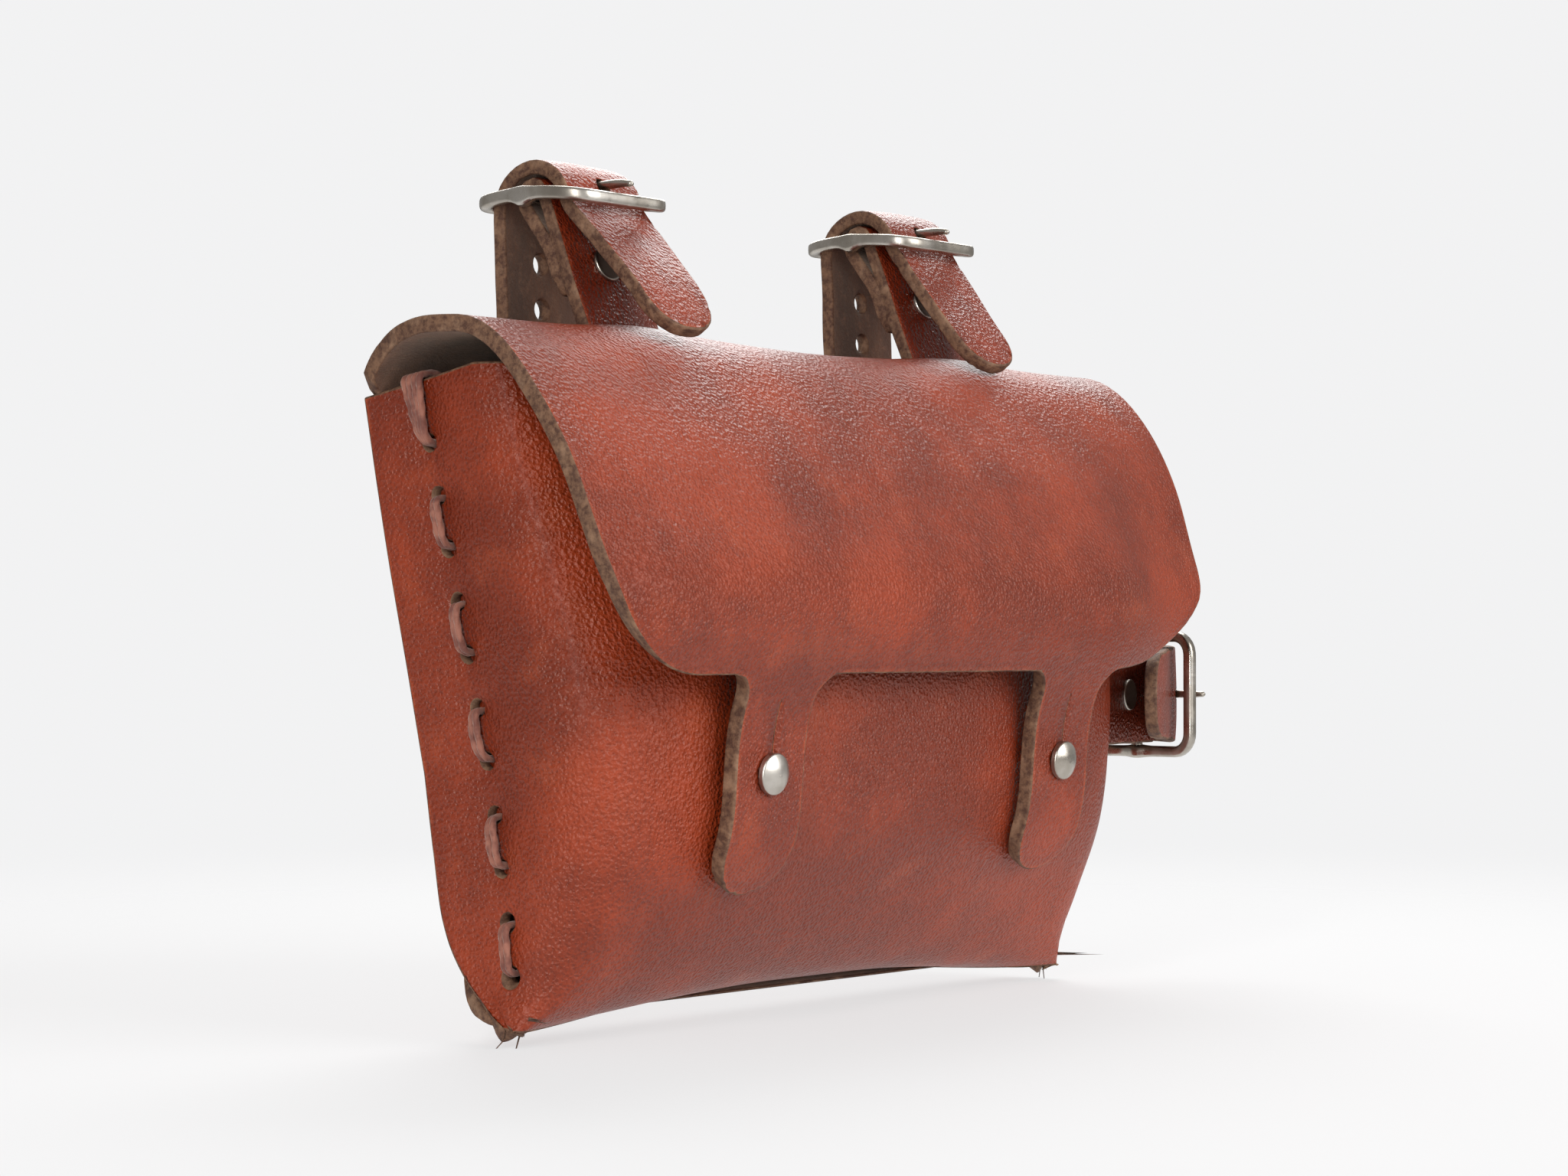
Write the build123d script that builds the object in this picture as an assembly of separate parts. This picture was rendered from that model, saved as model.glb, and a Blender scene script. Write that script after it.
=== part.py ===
"""Leather saddle bag: a folded hide sewn at its sides, two studs, and three buckled straps."""
from build123d import *
import math
import os

os.makedirs("parts", exist_ok=True)

# The parts are drawn about the middle of the line between the two stud heads, then moved so that
# the origin is the bottom centre of the whole assembly's box.  X is the width, Y goes to the back.
ORIGIN_SHIFT = (-10.6, -29.33, 50.0)

# Leather
HIDE = 3.2            # thickness of the body hide
STRAP = 2.8           # thickness of a strap
STRAP_WIDTH = 22.0
GAP = 0.3             # clearance between leather pieces

# Bag body
TOP_HALF = 95.0       # half width across the folds at the mouth
BOTTOM_HALF = 88.0    # half width at the bottom
MOUTH_Z = 71.0
BOTTOM_Z = -43.0
FRONT_CORNER = 13.0   # radius of the soft front folds
EAR_HALF = 90.5       # half width over the pinched ears
EAR_Z = -50.0
WING_EDGE_Y = 28.0    # front edge of the back's folded-in wings

# Flap
FLAP_HALF = 103.0
BACK_EDGE_HALF = 95.0
HINGE_Y, HINGE_Z = 28.5, 84.7
FLAP_CORNER = 26.0
FLAP_EDGE_Z = 18.0    # lower edge between the tongues
TONGUE_X = 49.0
TONGUE_WIDTH = 20.6
TONGUE_END = 22.5     # from the stud down to the end of the tongue
LEAN = 5.0            # the front leans by this many degrees where the studs sit
UNDER_LEAN = 25.0     # and by this many where it turns under, below them
FLAP_APEX = (-7.3, 37.5)        # the flap's most forward fold, before rounding, in Y and Z

# Studs
STUD_HEAD = 8.0
STUD_HEAD_THICK = 2.2
STUD_DOME = 7.4       # radius of the head's crown
STUD_NECK = 4.6
STUD_BASE = 7.6
SCREW_SHANK = 2.9
SCREW_HEAD = 7.6

# Sewing
HOLE = 2.7
THREAD = 2.2
STITCHES = 11
MOUTH_REACH = 12.9    # from the first hole up to the thread's turn over the mouth
STITCH_TOP = (48.6, 62.0)       # first hole, across and up the side
STITCH_BOTTOM = (33.8, -36.5)   # last hole

# Buckles: a frame with a centre bar, drawn about the centre bar
BAR = 1.2             # radius of the centre bar
LOOP = 9.0            # radius of the strap's top loop, at mid thickness
LOOP_DROP = 2.7       # the loop's centre lies this far below the bar
WRAP = 2.9            # radius of the fold round the bar, at mid thickness
FRAME_FRONT, FRAME_BACK = -15.7, 13.6
FRAME_RISE = 0.6
FRAME_THICK = 2.6
FRAME_HALF = 14.3
FRAME_RAIL = 2.5
PRONG = 0.9
RIVET_CAP = 7.0
STRAP_X = 52.5
TOP_BAR = (50.0, 110.7)         # centre bar of a top buckle, in Y and Z
SIDE_BAR = (26.5, 116.5)        # centre bar of the side buckle, in Y and X
SIDE_Z = 13.0

lean, under = math.radians(LEAN), math.radians(UNDER_LEAN)
OUT = Vector(0, -math.cos(lean), -math.sin(lean))     # away from the leaning front
DOWN = Vector(0, math.sin(lean), -math.cos(lean))
TONGUE_OUTER = STUD_HEAD_THICK + 0.2
PANEL_OUTER = TONGUE_OUTER + HIDE + GAP


def front_point(depth, down):
    """A point on the leaning lower front, a depth behind the stud heads."""
    p = OUT * -depth + DOWN * down
    return (p.Y, p.Z)


def in_yz(points):
    return [(0, y, z) for y, z in points]


def rounded_face(points, radii):
    """A closed outline in the YZ plane: one radius for each corner, 0 where it stays sharp."""
    face = make_face(Polyline(*in_yz(points), close=True))
    for point, radius in zip(in_yz(points), radii):
        if radius:
            corner = face.vertices().sort_by_distance(point)[0]
            face = fillet(corner, radius)
    return face


def body_outline(inset):
    """The bag from the side, set in by a wall and opened at the top when it is the inside."""
    lift = 30.0 if inset else 0.0
    fall = (64.0 - 50.0) / (MOUTH_Z - BOTTOM_Z)
    slope = (27.0 - 12.5) / (76.0 - 40.0)
    front_top = (27.0 + inset + lift * slope, 76.0 + lift)
    turn = front_point(PANEL_OUTER + inset, 10.1)
    bottom = BOTTOM_Z + inset
    low_y = turn[0] + (turn[1] - bottom) * math.tan(under)
    points = [
        (64.0 - inset + lift * fall, MOUTH_Z + lift),
        front_top,
        (12.5 + inset, 40.0),
        front_point(PANEL_OUTER + inset, -13.0),
        turn,
        (low_y, bottom),
        (50.0 - inset, bottom),
    ]
    return rounded_face(points, [0, 0, 50, 25, 25, 18 - inset, 10 - inset])


def side_wedge(inset):
    """A block between the two sides, which lean in towards the bottom."""
    taper = (TOP_HALF - BOTTOM_HALF) / (MOUTH_Z - BOTTOM_Z)
    top_z, low_z = 110.0, -60.0
    top_half = TOP_HALF - inset + taper * (top_z - MOUTH_Z)
    low_half = BOTTOM_HALF - inset + taper * (low_z - BOTTOM_Z)
    wedge = make_face(Polyline((-top_half, 0, top_z), (top_half, 0, top_z),
                               (low_half, 0, low_z), (-low_half, 0, low_z), close=True))
    return extrude(wedge, 120, dir=(0, 1, 0), both=True)


def body_volume(inset):
    """The outline carried across the bag, with its soft front folds rounded."""
    volume = extrude(body_outline(inset), 110, dir=(1, 0, 0), both=True) & side_wedge(inset)
    sides = volume.faces().filter_by(lambda f: abs(f.normal_at().X) > 0.9)
    folds = [e for f in sides for e in f.edges() if e.center().Y < 30 and e.center().Z < 75]
    return fillet(folds, FRONT_CORNER - inset)


def ears():
    """The two pinched bottom corners that the bag stands on."""
    outline = make_face(Polyline(*in_yz([(20, -38.4), (26.5, EAR_Z), (40, EAR_Z), (47.5, -38.4)]),
                                 close=True))
    outline = fillet(outline.vertices().filter_by(lambda v: v.Z < EAR_Z + 1), 3)
    ear = Pos(EAR_HALF - 2 * HIDE, 0, 0) * extrude(outline, 2 * HIDE, dir=(1, 0, 0))
    return ear, mirror(ear, Plane.YZ)


def side_plane(side):
    """The flat of one side, with its x axis running down the stitch line and z outward."""
    taper = (TOP_HALF - BOTTOM_HALF) / (MOUTH_Z - BOTTOM_Z)
    (y0, z0), (y1, z1) = STITCH_TOP, STITCH_BOTTOM
    top = Vector(side * (TOP_HALF + taper * (z0 - MOUTH_Z)), y0, z0)
    low = Vector(side * (TOP_HALF + taper * (z1 - MOUTH_Z)), y1, z1)
    normal = Vector(side, 0, -taper)
    return Plane(origin=top, x_dir=low - top, z_dir=normal), (low - top).length


def flap_line():
    """The hide from the back's top, over the roof and down the front, at mid thickness."""
    mid = HIDE / 2
    turn = front_point(TONGUE_OUTER + mid, 10.5)
    end = (turn[0] + 20 * math.sin(under), turn[1] - 20 * math.cos(under))
    return FilletPolyline(
        *in_yz([(64.0 - mid, MOUTH_Z - 1.0), (56.5, 83.1), (25.5, 83.1), FLAP_APEX,
                front_point(TONGUE_OUTER + mid, -11.0), turn, end]),
        radius=[16, 18, 30, 25, 25])


def folded_hide():
    """Roof and flap before they are cut to outline."""
    line = flap_line()
    start = Plane(origin=line @ 0, x_dir=(1, 0, 0), z_dir=line % 0)
    return sweep(start * Rectangle(2 * FLAP_HALF + 10, HIDE), path=line)


def flap_outline():
    """Front view of the flap: rounded lower corners and two tongues."""
    half, edge = FLAP_HALF, FLAP_EDGE_Z
    plate = Pos(0, 0, (HINGE_Z + 20 + edge) / 2) * Box(2 * half, 80, HINGE_Z + 20 - edge)
    lower = plate.edges().filter_by(Axis.Y).filter_by(lambda e: e.center().Z < edge + 1)
    plate = fillet(lower, FLAP_CORNER)
    for side in (-1, 1):
        low, high = -TONGUE_END, edge + 8
        tongue = Pos(side * TONGUE_X, 0, (low + high) / 2) * Box(TONGUE_WIDTH, 80, high - low)
        ends = tongue.edges().filter_by(Axis.Y).filter_by(lambda e: e.center().Z < 0)
        plate += fillet(ends, TONGUE_WIDTH / 2 - 0.6)
    inner = plate.edges().filter_by(Axis.Y).filter_by(
        lambda e: abs(e.center().Z - edge) < 0.1 and abs(e.center().X) < 62)
    return fillet(inner, 7)


def wing_layer(side):
    """The back's wing, folded in behind the front's wing to make the sewn side double."""
    reach = Pos(side * 90, WING_EDGE_Y + 40, 14) * Box(40, 80, 112)
    return (body_volume(HIDE) & reach) - side_wedge(2 * HIDE)


def stitch_holes():
    """Holes through both layers of each side, pointing square to the side."""
    holes = []
    for side in (-1, 1):
        plane, length = side_plane(side)
        for i in range(STITCHES):
            place = plane * Pos(i * length / (STITCHES - 1), 0, 0)
            holes.append(place * Cylinder(HOLE / 2, 30))
    return holes


def stitch_thread(side):
    """One thread: over the mouth's edge, in at the first hole, then in and out to the last one."""
    plane, length = side_plane(side)
    step = length / (STITCHES - 1)
    out, into = THREAD / 2 + 0.15, -2 * HIDE - THREAD / 2 - 0.25
    tail = into - THREAD - 0.2
    points = [(step * 0.6, tail), (-MOUTH_REACH, tail), (-MOUTH_REACH, out), (0, out)]
    for i in range(STITCHES):
        levels = (out, into) if i % 2 == 0 else (into, out)
        points += [(i * step, level) for level in levels]
    route = []
    for point in points + [((STITCHES - 1.6) * step, into)]:
        if not route or math.dist(route[-1], point) > 1e-6:
            route.append(point)
    return plane, route


def thread_solid(side):
    plane, route = stitch_thread(side)
    corners = [plane.from_local_coords(Vector(s, 0, n)) for s, n in route]
    path = FilletPolyline(*corners, radius=1.3)
    return sweep(Plane(origin=path @ 0, z_dir=path % 0) * Circle(THREAD / 2), path=path)


def stud_plane(side):
    return Plane(origin=(side * TONGUE_X, 0, 0), x_dir=(1, 0, 0), z_dir=OUT)


def stud(side):
    """A turned button stud: low domed head, waist, and a base that sits on the front."""
    head = Pos(0, 0, -STUD_HEAD_THICK / 2) * Cylinder(STUD_HEAD / 2, STUD_HEAD_THICK)
    head &= Pos(0, 0, -STUD_DOME) * Sphere(STUD_DOME)
    rim = head.edges().filter_by(lambda e: e.length > 20 and e.center().Z > -STUD_HEAD_THICK + 0.1)
    head = fillet(rim, 0.5)
    waist = Pos(0, 0, -(PANEL_OUTER + 1.0) / 2) * Cylinder(STUD_NECK / 2, PANEL_OUTER - 1.0)
    base = Pos(0, 0, -PANEL_OUTER + 0.5) * Cylinder(STUD_BASE / 2, 1.0)
    bore = Pos(0, 0, -PANEL_OUTER + 1.7) * Cylinder(SCREW_SHANK / 2 + 0.05, 3.4)
    return stud_plane(side) * (head + waist + base - bore)


def stud_screw(side):
    """The screw that holds the stud from inside the bag."""
    shank_top = -PANEL_OUTER + 3.2
    seat = -PANEL_OUTER - HIDE
    shank = Pos(0, 0, (shank_top + seat) / 2) * Cylinder(SCREW_SHANK / 2, shank_top - seat)
    head = Pos(0, 0, seat - 0.7) * Cylinder(SCREW_HEAD / 2, 1.4)
    slot = Pos(0, 0, seat - 1.4) * Box(SCREW_HEAD, 0.9, 1.0)
    return stud_plane(side) * (shank + head - slot)


def tongue_slot(side):
    """The stud hole, drawn as wide as the slit spreads while the head passes through."""
    slot = extrude(SlotOverall(STUD_HEAD + 6.5, STUD_HEAD + 1.2, rotation=90), 12, both=True)
    return stud_plane(side) * Pos(0, -2.8, 0) * slot


class StrapRoute:
    """Centre line of a strap in its own plane, about the buckle's centre bar."""

    def __init__(self, front_low, back_low, tip_end):
        loop_centre = Vector(0, -LOOP_DROP)
        self.front_low, self.back_low = Vector(*front_low), Vector(*back_low)
        self.tip_end = Vector(*tip_end)
        self.fold_front = tangent_point(Vector(0, 0), WRAP, self.front_low, 1)
        self.down = (self.front_low - self.fold_front).normalized()
        self.behind = Vector(-self.down.Y, self.down.X)
        self.bend, self.chape_end = self.beside(10.5), self.beside(19.5)
        self.fold_back = tangent_point(Vector(0, 0), WRAP, self.bend, -1)
        self.loop_back = tangent_point(loop_centre, LOOP, self.back_low, -1)
        self.loop_top = loop_centre + Vector(0, LOOP)
        self.loop_front = loop_centre + Vector(-LOOP, 0).rotate(Axis.Z, -15)
        self.knee = Vector(-9.8, -3.8)
        self.split = self.knee + (self.tip_end - self.knee).normalized() * 3.2

    def beside(self, distance):
        """A point behind the front leg, one strap thickness away from it."""
        return self.fold_front + self.down * distance + self.behind * (STRAP + 0.1)

    def held_line(self):
        """From the folded end, round the bar, through the bag and over the loop to the knee."""
        return Wire([
            *FilletPolyline(self.chape_end, self.bend, self.fold_back, radius=9).edges(),
            ThreePointArc(self.fold_back, Vector(0, WRAP), self.fold_front),
            *FilletPolyline(self.fold_front, self.front_low, self.back_low, self.loop_back,
                            radius=2.4).edges(),
            ThreePointArc(self.loop_back, self.loop_top, self.loop_front),
            *FilletPolyline(self.loop_front, self.knee, self.split, radius=4).edges()])

    def tip_line(self):
        start = self.split + (self.tip_end - self.knee).normalized() * 0.15
        return Line(start, self.tip_end)


def tangent_point(centre, radius, point, turn):
    """Where the line from a point touches a circle; turn picks the left or the right side."""
    reach = point - centre
    angle = math.atan2(reach.Y, reach.X) - turn * math.acos(radius / reach.length)
    return centre + Vector(math.cos(angle), math.sin(angle)) * radius


def strip(line, width, thick):
    """A flat strap of the given width, swept along its centre line and centred on the plane."""
    start = Plane(origin=line @ 0, x_dir=(0, 0, 1), z_dir=line % 0)
    return sweep(start * Rectangle(width, thick), path=line)


def strap_held(route):
    """The strap from its folded end to the knee, with prong slot, prong hole and rivet hole."""
    band = strip(route.held_line(), STRAP_WIDTH, STRAP)
    band -= Cylinder(WRAP + STRAP / 2 + 0.35, 3.6)
    band -= prong_rod(2.2)
    band -= rivet_place(route) * Cylinder(1.6, 12)
    leg = (route.loop_back - route.back_low).normalized()
    for up in (17.0, 26.0):
        at = route.back_low + leg * up
        across = Plane(origin=(at.X, at.Y, 0), z_dir=Vector(leg.Y, -leg.X, 0))
        band -= across * Cylinder(2.0, 8)
    return band


def strap_tip(route):
    """The free end of the strap, rounded at its end."""
    band = strip(route.tip_line(), STRAP_WIDTH, STRAP)
    end = band.edges().filter_by(lambda e: (e.center() - route.tip_end).length > 10.0
                                 and (Vector(e.center().X, e.center().Y) - route.tip_end).length < 2.0
                                 and abs(e.center().Z) > STRAP_WIDTH / 2 - 0.1)
    return fillet(end, STRAP_WIDTH / 2 - 1.2)


def rivet_place(route):
    """The rivet's axis, square to the two layers that it holds, with +Z to the front."""
    mid = route.fold_front + route.down * 15.5 + route.behind * (STRAP + 0.1) / 2
    return Plane(origin=(mid.X, mid.Y, 0), x_dir=(0, 0, 1), z_dir=-route.behind)


def rivet_cap(route):
    """The domed cap on the front of the strap, with the socket that the post fills."""
    face = STRAP + 0.05
    dome = Pos(0, 0, face + 0.4) * Cylinder(RIVET_CAP / 2, 0.8)
    dome = fillet(dome.edges().group_by(Axis.Z)[-1], 0.5)
    socket = Pos(0, 0, face - 1.0) * (Cylinder(1.5, 2.0) - Pos(0, 0, -0.2) * Cylinder(1.0, 1.6))
    return rivet_place(route) * (dome + socket)


def rivet_post(route):
    """The flanged post that comes through from behind."""
    face = -STRAP - 0.05
    flange = Pos(0, 0, face - 0.4) * Cylinder(RIVET_CAP / 2, 0.8)
    flange = fillet(flange.edges().group_by(Axis.Z)[0], 0.5)
    post = Pos(0, 0, face + 2.2) * Cylinder(0.95, 4.4)
    return rivet_place(route) * (flange + post)


def buckle_frame():
    """A cast frame with rounded corners, a centre bar, and side rails that swell at the bar."""
    length, middle = FRAME_BACK - FRAME_FRONT, (FRAME_BACK + FRAME_FRONT) / 2
    outer = Pos(middle, 0) * RectangleRounded(length, 2 * FRAME_HALF, 4.5)
    inner = Pos(middle, 0) * RectangleRounded(
        length - 2 * FRAME_RAIL, 2 * (FRAME_HALF - FRAME_RAIL), 2.2)
    ring = extrude(outer - inner, FRAME_THICK / 2, both=True)
    ring = fillet(ring.edges().filter_by(lambda e: abs(abs(e.center().Z) - FRAME_THICK / 2) < 0.01), 0.8)
    ring = Rot(90, 0, 0) * Pos(0, 0, 0) * ring
    bar = Pos(0, 0, 0) * Cylinder(BAR, 2 * (FRAME_HALF - FRAME_RAIL / 2))
    frame = Pos(0, FRAME_RISE, 0) * ring + bar
    for side in (-1, 1):
        swell = Pos(0, 0.1, side * (FRAME_HALF - FRAME_RAIL / 2)) * Cylinder(2.1, FRAME_RAIL - 0.2)
        frame += swell
    return frame


def prong_rod(radius):
    """The straight run of the prong, from its ring to beyond the front rail."""
    start = Vector(-1.6, 1.9)
    end = Vector(FRAME_FRONT + 0.6, FRAME_RISE + FRAME_THICK / 2 + PRONG + 0.05)
    along = end - start
    plane = Plane(origin=(start.X, start.Y, 0), x_dir=(0, 0, 1), z_dir=(along.X, along.Y, 0))
    return plane * Pos(0, 0, along.length / 2) * Cylinder(radius, along.length)


def prong():
    """The prong: a ring that turns on the centre bar, and a rod that rests on the front rail."""
    ring = Cylinder(2.55, 2.8)
    rod = prong_rod(PRONG)
    tip = rod.edges().group_by(Axis.X)[0]
    rod = fillet(tip, 0.5)
    return ring + rod - Cylinder(BAR + 0.06, 6)


TOP_LEGS = {"front_low": (-15.6, -31.4), "back_low": (7.6, -37.6)}
ROUTES = {
    "left": StrapRoute(**TOP_LEGS, tip_end=(-30.6, -27.2)),
    "right": StrapRoute(**TOP_LEGS, tip_end=(-28.8, -27.8)),
    "side": StrapRoute(front_low=(-9.0, -34.2), back_low=(8.4, -34.2), tip_end=(-21.0, -27.5))}


def strap_place(name):
    """Carries a strap's own plane to its place: its x to the back, its y away from the bag."""
    if name == "side":
        return Plane(origin=(SIDE_BAR[1], SIDE_BAR[0], SIDE_Z), x_dir=(0, 1, 0), z_dir=(0, 0, -1))
    x = -STRAP_X if name == "left" else STRAP_X
    return Plane(origin=(x, *TOP_BAR), x_dir=(0, 1, 0), z_dir=(1, 0, 0))


def strap_parts(name):
    route = ROUTES[name]
    place = strap_place(name)
    pieces = {
        "strap": strap_held(route), "strap_tip": strap_tip(route), "buckle_frame": buckle_frame(),
        "prong": prong(), "rivet_cap": rivet_cap(route), "rivet_post": rivet_post(route)}
    return {f"{name}_{piece}": place * solid for piece, solid in pieces.items()}


def strap_clearance(name):
    """The space that a strap needs where it passes through the hide."""
    route = ROUTES[name]
    line = FilletPolyline(route.fold_front, route.front_low, route.back_low, route.loop_back,
                          radius=2.4)
    return strap_place(name) * strip(line, STRAP_WIDTH + 2 * GAP, STRAP + 2 * GAP)


def body_hide(hide):
    """Front, bottom, back, wings and roof: the hide up to the flap's fold."""
    body = body_volume(0) - body_volume(HIDE)
    for side in (-1, 1):
        body += wing_layer(side)
    for ear in ears():
        body += ear
    roof_plan = make_face(Polyline(
        (-FLAP_HALF, HINGE_Y + 0.15), (FLAP_HALF, HINGE_Y + 0.15), (FLAP_HALF, 37),
        (BACK_EDGE_HALF, 66), (-BACK_EDGE_HALF, 66), (-FLAP_HALF, 37), close=True))
    body += hide & Pos(0, 0, 60) * extrude(roof_plan, 60)
    for cut in stitch_holes():
        body -= cut
    for side in (-1, 1):
        body -= stud_plane(side) * Pos(0, 0, -PANEL_OUTER) * Cylinder(SCREW_SHANK / 2 + 0.1, 12)
    for name in ("left", "right", "side"):
        body -= strap_clearance(name)
    return body


def flap(hide):
    """The flap in front of its fold, with its two tongues."""
    front = Pos(0, HINGE_Y - 0.15 - 60, 20) * Box(400, 120, 300)
    shape = hide & front & flap_outline()
    for side in (-1, 1):
        shape -= tongue_slot(side)
    return shape


def build():
    hide = folded_hide()
    parts = {"body_hide": body_hide(hide), "flap": flap(hide)}
    for name, side in (("left", -1), ("right", 1)):
        parts[f"stitch_thread_{name}"] = thread_solid(side)
        parts[f"stud_{name}"] = stud(side)
        parts[f"stud_screw_{name}"] = stud_screw(side)
    for name in ("left", "right", "side"):
        parts.update(strap_parts(name))
    return {name: Pos(*ORIGIN_SHIFT) * solid for name, solid in parts.items()}


for node, shape in build().items():
    export_step(shape, f"parts/{node}.step")
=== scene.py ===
"""Leather saddle bag: hide, laced sides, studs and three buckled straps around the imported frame."""

import math

import bmesh
import bpy
import numpy as np
from mathutils import Matrix, Vector, noise


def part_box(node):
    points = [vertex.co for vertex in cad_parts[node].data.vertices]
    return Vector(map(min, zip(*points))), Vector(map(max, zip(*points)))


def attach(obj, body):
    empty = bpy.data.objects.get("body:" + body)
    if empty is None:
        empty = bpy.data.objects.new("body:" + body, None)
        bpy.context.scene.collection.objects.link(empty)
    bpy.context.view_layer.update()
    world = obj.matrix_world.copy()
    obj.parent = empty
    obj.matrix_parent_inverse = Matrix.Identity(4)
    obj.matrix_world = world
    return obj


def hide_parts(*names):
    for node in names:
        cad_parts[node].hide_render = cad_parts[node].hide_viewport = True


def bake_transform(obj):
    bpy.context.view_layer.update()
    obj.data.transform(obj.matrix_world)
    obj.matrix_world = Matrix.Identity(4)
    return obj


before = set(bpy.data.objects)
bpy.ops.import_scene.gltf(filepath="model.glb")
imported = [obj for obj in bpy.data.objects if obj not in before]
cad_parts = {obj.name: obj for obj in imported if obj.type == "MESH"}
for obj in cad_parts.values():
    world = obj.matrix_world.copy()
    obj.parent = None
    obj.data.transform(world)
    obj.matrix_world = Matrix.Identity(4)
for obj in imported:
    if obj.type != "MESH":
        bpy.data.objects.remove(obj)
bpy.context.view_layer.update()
MM = 0.001

# The working datum is the middle of the line between the stud heads; lengths are in millimetres.
HALF_FLAP = (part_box("flap")[1].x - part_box("flap")[0].x) / MM / 2
DATUM = Vector(((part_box("flap")[0].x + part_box("flap")[1].x) / 2,
                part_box("body_hide")[1].y - 64.0 * MM,
                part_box("body_hide")[0].z + 50.0 * MM))

HIDE = 3.2
STRAP = 2.8
STRAP_WIDTH = 22.0
LEAN = math.radians(5.0)
FACE = 4.0                      # middle of the tongue's leather, behind the stud heads
STUD_X = 49.0


def place(x, y, z):
    """A point of the bag in millimetres about the datum, as metres in the frame."""
    return Vector((x, y, z)) * MM + DATUM


# -------- curves and meshes

def smooth_path(points, spacing=1.0, tension=0.5):
    """Even points on a Catmull-Rom curve through a few given ones."""
    pts = [np.array(p, float) for p in points]
    pts = [2 * pts[0] - pts[1]] + pts + [2 * pts[-1] - pts[-2]]
    fine = []
    for a, b, c, d in zip(pts, pts[1:], pts[2:], pts[3:]):
        m1, m2 = (c - a) * tension, (d - b) * tension
        for t in np.linspace(0, 1, 24, endpoint=False):
            h = (2 * t ** 3 - 3 * t ** 2 + 1, t ** 3 - 2 * t ** 2 + t, -2 * t ** 3 + 3 * t ** 2,
                 t ** 3 - t ** 2)
            fine.append(h[0] * b + h[1] * m1 + h[2] * c + h[3] * m2)
    fine.append(pts[-2])
    return resample(np.array(fine), spacing)


def resample(line, spacing):
    steps = np.linalg.norm(np.diff(line, axis=0), axis=1)
    length = np.concatenate([[0], np.cumsum(steps)])
    count = max(2, int(round(length[-1] / spacing)) + 1)
    at = np.linspace(0, length[-1], count)
    return np.stack([np.interp(at, length, line[:, k]) for k in range(line.shape[1])], 1)


def ease(t):
    t = np.clip(t, 0, 1)
    return t * t * (3 - 2 * t)


def new_object(name, mesh):
    obj = bpy.data.objects.new(name, mesh)
    bpy.context.scene.collection.objects.link(obj)
    return obj


def apply_modifiers(obj):
    """Replaces an object's mesh by the result of its modifiers."""
    graph = bpy.context.evaluated_depsgraph_get()
    mesh = bpy.data.meshes.new_from_object(obj.evaluated_get(graph))
    obj.modifiers.clear()
    obj.data = mesh
    return obj


def finish_sheet(obj, thickness, bevel=0.45):
    """Gives a single sheet its thickness, cut edges of their own material, and eased edges."""
    solid = obj.modifiers.new("thickness", "SOLIDIFY")
    solid.thickness = thickness * MM
    solid.offset = -1
    solid.material_offset = 1
    solid.material_offset_rim = 2
    solid.use_even_offset = True
    solid.thickness_clamp = 0
    if "thin" in obj.vertex_groups:
        solid.vertex_group = "thin"
        solid.thickness_vertex_group = 0.12
    round_edge = obj.modifiers.new("edges", "BEVEL")
    round_edge.width = bevel * MM
    round_edge.segments = 3
    round_edge.limit_method = "ANGLE"
    round_edge.angle_limit = math.radians(50)
    round_edge.use_clamp_overlap = False
    round_edge.material = 2
    apply_modifiers(obj)
    obj.data.shade_smooth()
    return obj


def grid_mesh(name, rows, closed=False):
    """A quad grid from rows of points in millimetres about the datum."""
    count = len(rows[0])
    verts = [place(*p) for row in rows for p in row]
    faces = [(r * count + c, r * count + (c + 1) % count, (r + 1) * count + (c + 1) % count,
              (r + 1) * count + c)
             for r in range(len(rows) - 1) for c in range(count - (0 if closed else 1))]
    mesh = bpy.data.meshes.new(name)
    mesh.from_pydata(verts, [], faces)
    return new_object(name, mesh)


def cut(obj, cutters):
    """Takes the cutters' shapes out of an object and removes them."""
    for cutter in cutters:
        mod = obj.modifiers.new("cut", "BOOLEAN")
        mod.operation = "DIFFERENCE"
        mod.solver = "EXACT"
        mod.object = cutter
        apply_modifiers(obj)
        bpy.data.objects.remove(cutter)
    return obj


# -------- the bag's profiles (y, z)

def front_at(depth, down):
    """A point behind the stud heads along the leaning lower front."""
    return (depth * math.cos(LEAN) + down * math.sin(LEAN), depth * math.sin(LEAN) - down * math.cos(LEAN))


BACK_POINTS = [(34.0, -43.2), (44.0, -41.2), (50.5, -33.0), (53.0, -16.0), (56.3, 10.0), (60.3, 42.0),
               (62.4, 62.0),
               (61.9, 70.5), (58.4, 76.8), (52.0, 81.0), (44.5, 82.9), (36.5, 83.1), (29.0, 82.2),
               (22.0, 77.9),
               (14.6, 69.4), (7.0, 58.6), (1.2, 48.0), (-3.5, 38.5), (-4.7, 32.0), (-3.4, 25.0), (-0.4, 18.6),
               (2.0, 13.0), (3.4, 7.0), (4.1, 0.0), (4.6, -6.0), (5.8, -12.0), (8.0, -17.2), (11.2, -22.2),
               (12.4, -23.8)]
HIDE_LINE = smooth_path(BACK_POINTS, 0.5)


def line_at(s):
    """Point and outward normal of the hide's middle line, s millimetres from its bottom end."""
    i = np.clip(s / 0.5, 0, len(HIDE_LINE) - 1.001)
    k = int(i)
    p = HIDE_LINE[k] + (HIDE_LINE[k + 1] - HIDE_LINE[k]) * (i - k)
    a, b = HIDE_LINE[max(k - 3, 0)], HIDE_LINE[min(k + 4, len(HIDE_LINE) - 1)]
    t = (b - a) / np.linalg.norm(b - a)
    return p, np.array([t[1], -t[0]])


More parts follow.
